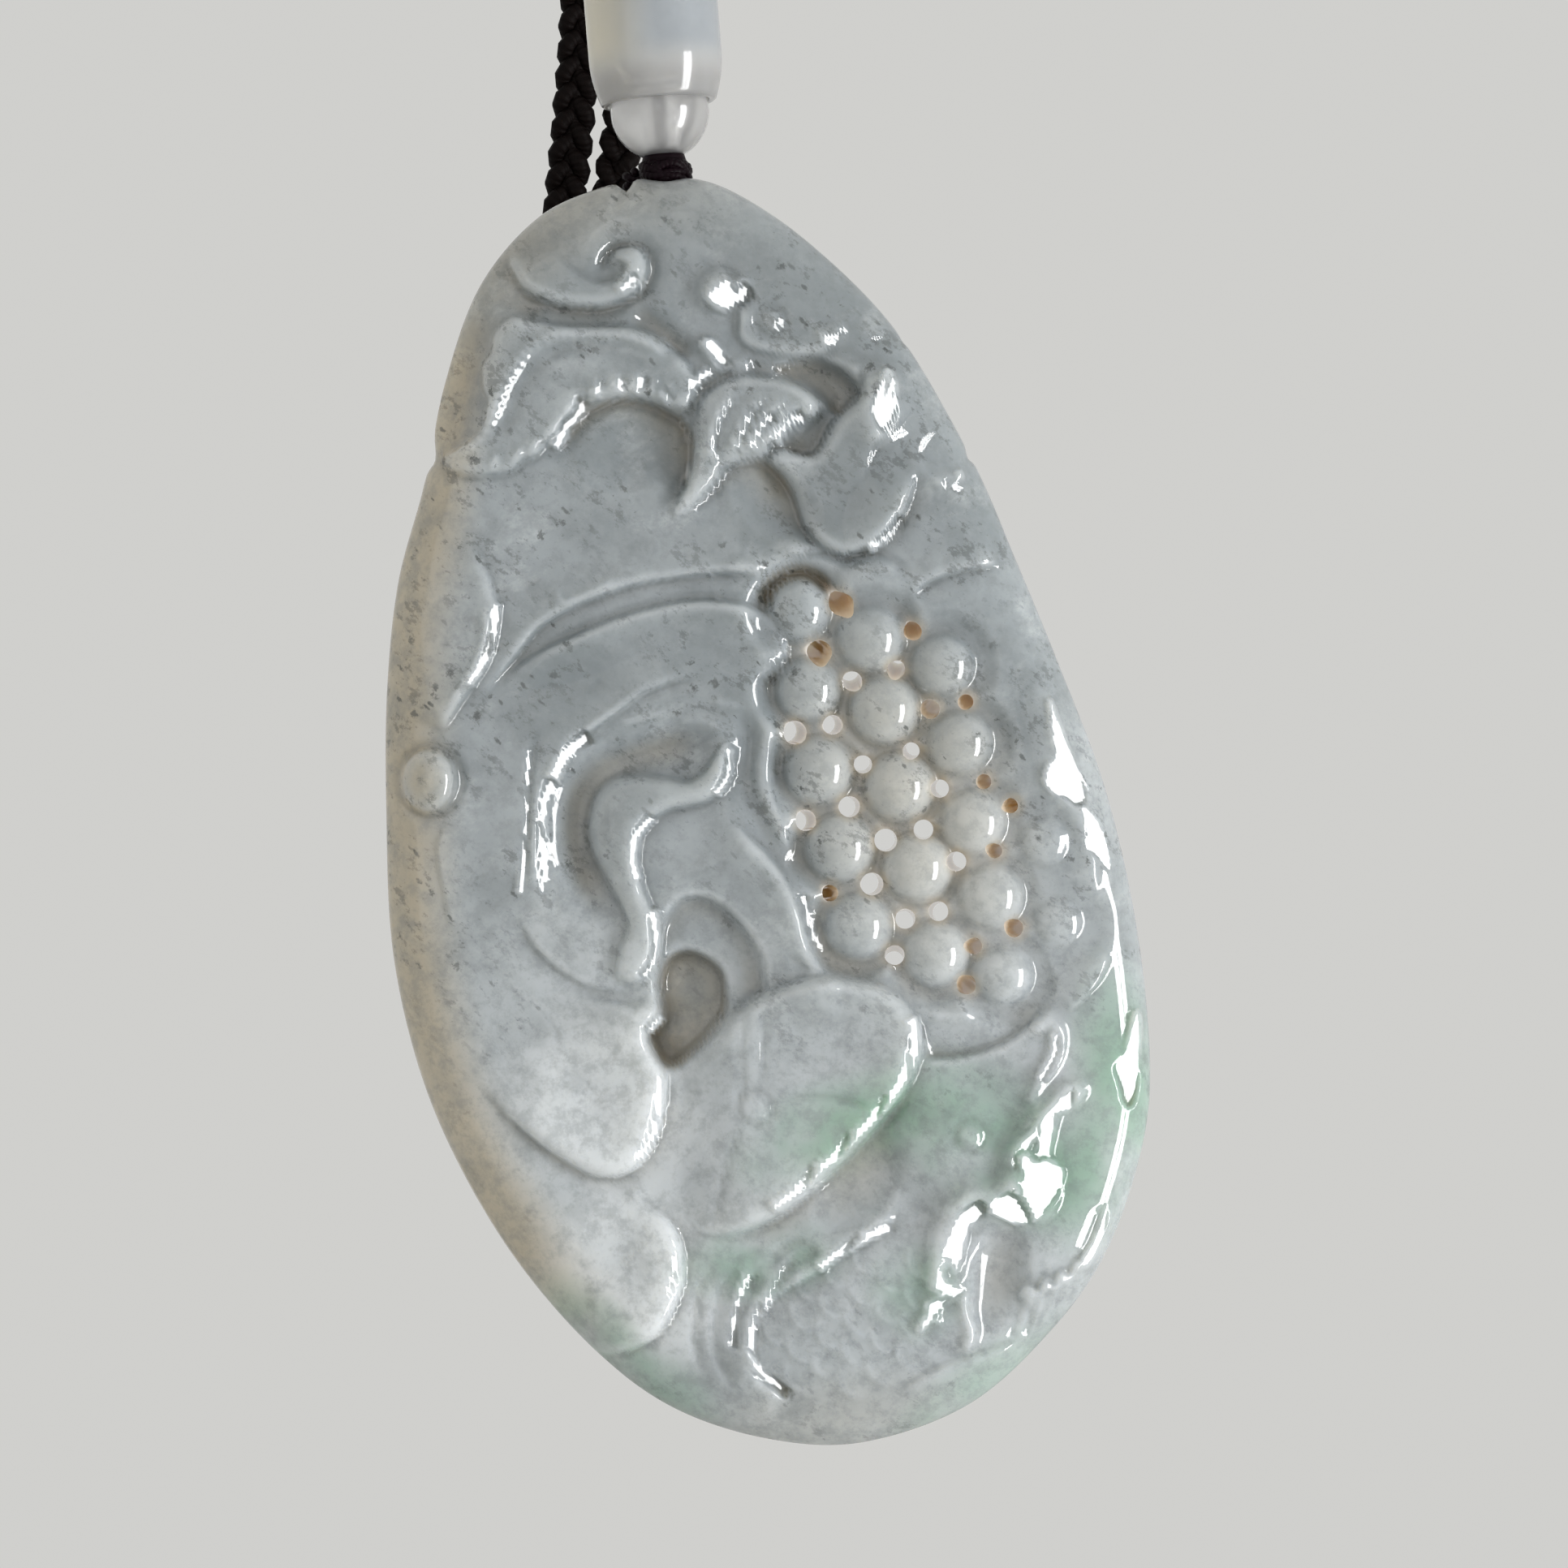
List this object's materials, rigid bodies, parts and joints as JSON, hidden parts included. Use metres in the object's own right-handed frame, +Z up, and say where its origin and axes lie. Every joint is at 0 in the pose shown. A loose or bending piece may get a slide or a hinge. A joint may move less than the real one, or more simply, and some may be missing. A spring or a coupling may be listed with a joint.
{
  "type": "carved jade pendant on its necklace cord",
  "caption": "Egg-shaped jade pendant, carved and pierced on its front, hung by a thread, a round bead and a barrel bead on a doubled braided neck cord.",
  "frame": {"origin": "the point that carries the cord: the inner side of the cord's bend, over the middle of its two runs", "axes": "+Z up along the hanging cord, the carved face looks along -Y, +X is to the right as seen from the front"},
  "size_m": [0.0497, 0.0213, 0.2055],
  "materials": {
    "jade": "highly polished grey jade with pale green and milky zones",
    "clear_bead": "polished, cloudy and see-through",
    "milky_bead": "polished, milky, lets some light through",
    "knot_thread": "fine waxed thread, purple-black",
    "black_cord": "tightly braided thread, black"
  },
  "bodies": {
    "root": {"jade_stone": "jade", "wrapped_knot": "knot_thread", "round_bead": "clear_bead", "barrel_bead": "milky_bead", "hanging_thread": "knot_thread", "neck_cord": "black_cord"}
  },
  "joints": []
}
